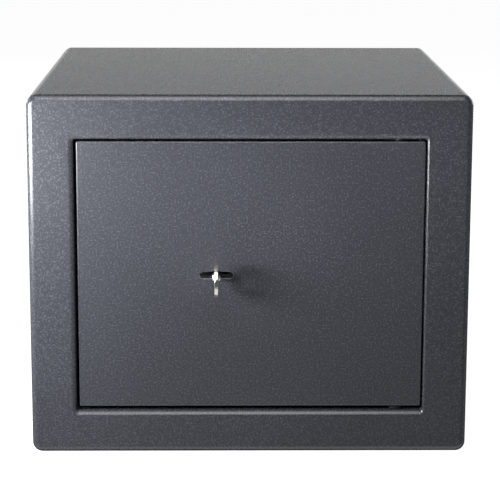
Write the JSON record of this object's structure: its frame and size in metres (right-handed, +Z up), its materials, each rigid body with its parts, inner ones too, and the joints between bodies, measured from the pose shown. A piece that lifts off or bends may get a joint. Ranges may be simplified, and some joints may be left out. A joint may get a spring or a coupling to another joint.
{
  "type": "furniture safe",
  "caption": "Steel furniture safe with a recessed hinged door, a double-bit key lock that throws round bolts, a shelf, a felt floor mat and anchor holes.",
  "frame": {"origin": "middle of the casing's footprint, on its underside", "axes": "+Z up, -Y out of the door front, +X to the right as seen from the front, where the hinge is"},
  "size_m": [0.35, 0.4035, 0.29],
  "materials": {
    "powder_coat": "fine-textured dark grey metallic powder coat",
    "inner_paint": "fine-textured dark grey powder coat",
    "zinc_steel": "bright zinc plate",
    "bright_steel": "turned bright steel",
    "hard_steel": "black hardened plate",
    "spring_steel": "blued spring steel",
    "nickel": "bright nickel plate",
    "brass": "satin brass",
    "plug_plastic": "black plastic",
    "felt": "dark grey needle felt"
  },
  "bodies": {
    "casing": {"front_frame": "powder_coat", "casing_wrap": "powder_coat", "back_panel": "powder_coat", "floor_mat": "felt", "shelf": "inner_paint", "shelf_rail_left": "inner_paint", "shelf_rail_right": "inner_paint", "floor_anchor_plug_left": "plug_plastic", "floor_anchor_plug_right": "plug_plastic", "back_anchor_plug_left": "plug_plastic", "back_anchor_plug_right": "plug_plastic", "hinge_bush_lower": "brass", "hinge_bush_upper": "brass", "hinge_thrust_washer": "zinc_steel"},
    "door": {"door_plate": "powder_coat", "hinge_block_lower": "inner_paint", "hinge_block_upper": "inner_paint", "hinge_pin_lower": "bright_steel", "hinge_pin_upper": "bright_steel", "hinge_side_dog_bar": "inner_paint", "bolt_guide_rail": "inner_paint", "lock_hardplate": "hard_steel", "lock_case": "zinc_steel", "lock_case_lid": "zinc_steel", "lever_spring_comb": "spring_steel", "bolt_work_cover": "inner_paint", "lock_screw_1": "zinc_steel", "lock_screw_2": "zinc_steel", "lock_screw_3": "zinc_steel", "lock_screw_4": "zinc_steel", "cover_screw_1": "zinc_steel", "cover_screw_2": "zinc_steel", "cover_screw_3": "zinc_steel", "cover_screw_4": "zinc_steel", "carriage_guide_stud_lower": "bright_steel", "carriage_guide_stud_upper": "bright_steel"},
    "bolt_carriage": {"bolt_carriage": "zinc_steel", "locking_bolt_lower": "bright_steel", "locking_bolt_upper": "bright_steel"},
    "lever_pack": {"lever_1": "brass", "lever_2": "brass", "lever_3": "brass", "lever_4": "brass", "lever_5": "brass", "lever_6": "brass"},
    "rotor": {"key_rotor": "brass"},
    "key": {"key": "nickel"}
  },
  "joints": [
    {"name": "door_hinge", "type": "hinge", "parent": "casing", "child": "door", "pos_m": [0.1182, -0.1748, 0.1456], "axis": [0, 0, 1], "range_deg": [0, 110]},
    {"name": "key_turn", "type": "hinge", "parent": "door", "child": "rotor", "pos_m": [-0.0265, -0.15, 0.146], "axis": [0, -1, 0], "range_deg": [0, 180]},
    {"name": "key_draw", "type": "slide", "parent": "rotor", "child": "key", "axis": [0, -1, 0], "range_m": [0, 0.06]},
    {"name": "bolt_throw", "type": "slide", "parent": "door", "child": "bolt_carriage", "axis": [-1, 0, 0], "range_m": [0, 0.016]},
    {"name": "lever_lift", "type": "slide", "parent": "door", "child": "lever_pack", "axis": [0, 0, 1], "range_m": [0, 0.0025], "stiffness_N_per_m": 400, "springref_m": -0.005, "deforming": ["lever_spring_comb"]}
  ],
  "couplings": [
    {"joint": "key_turn", "follows": "bolt_throw", "rad_per_m": 196.34}
  ]
}
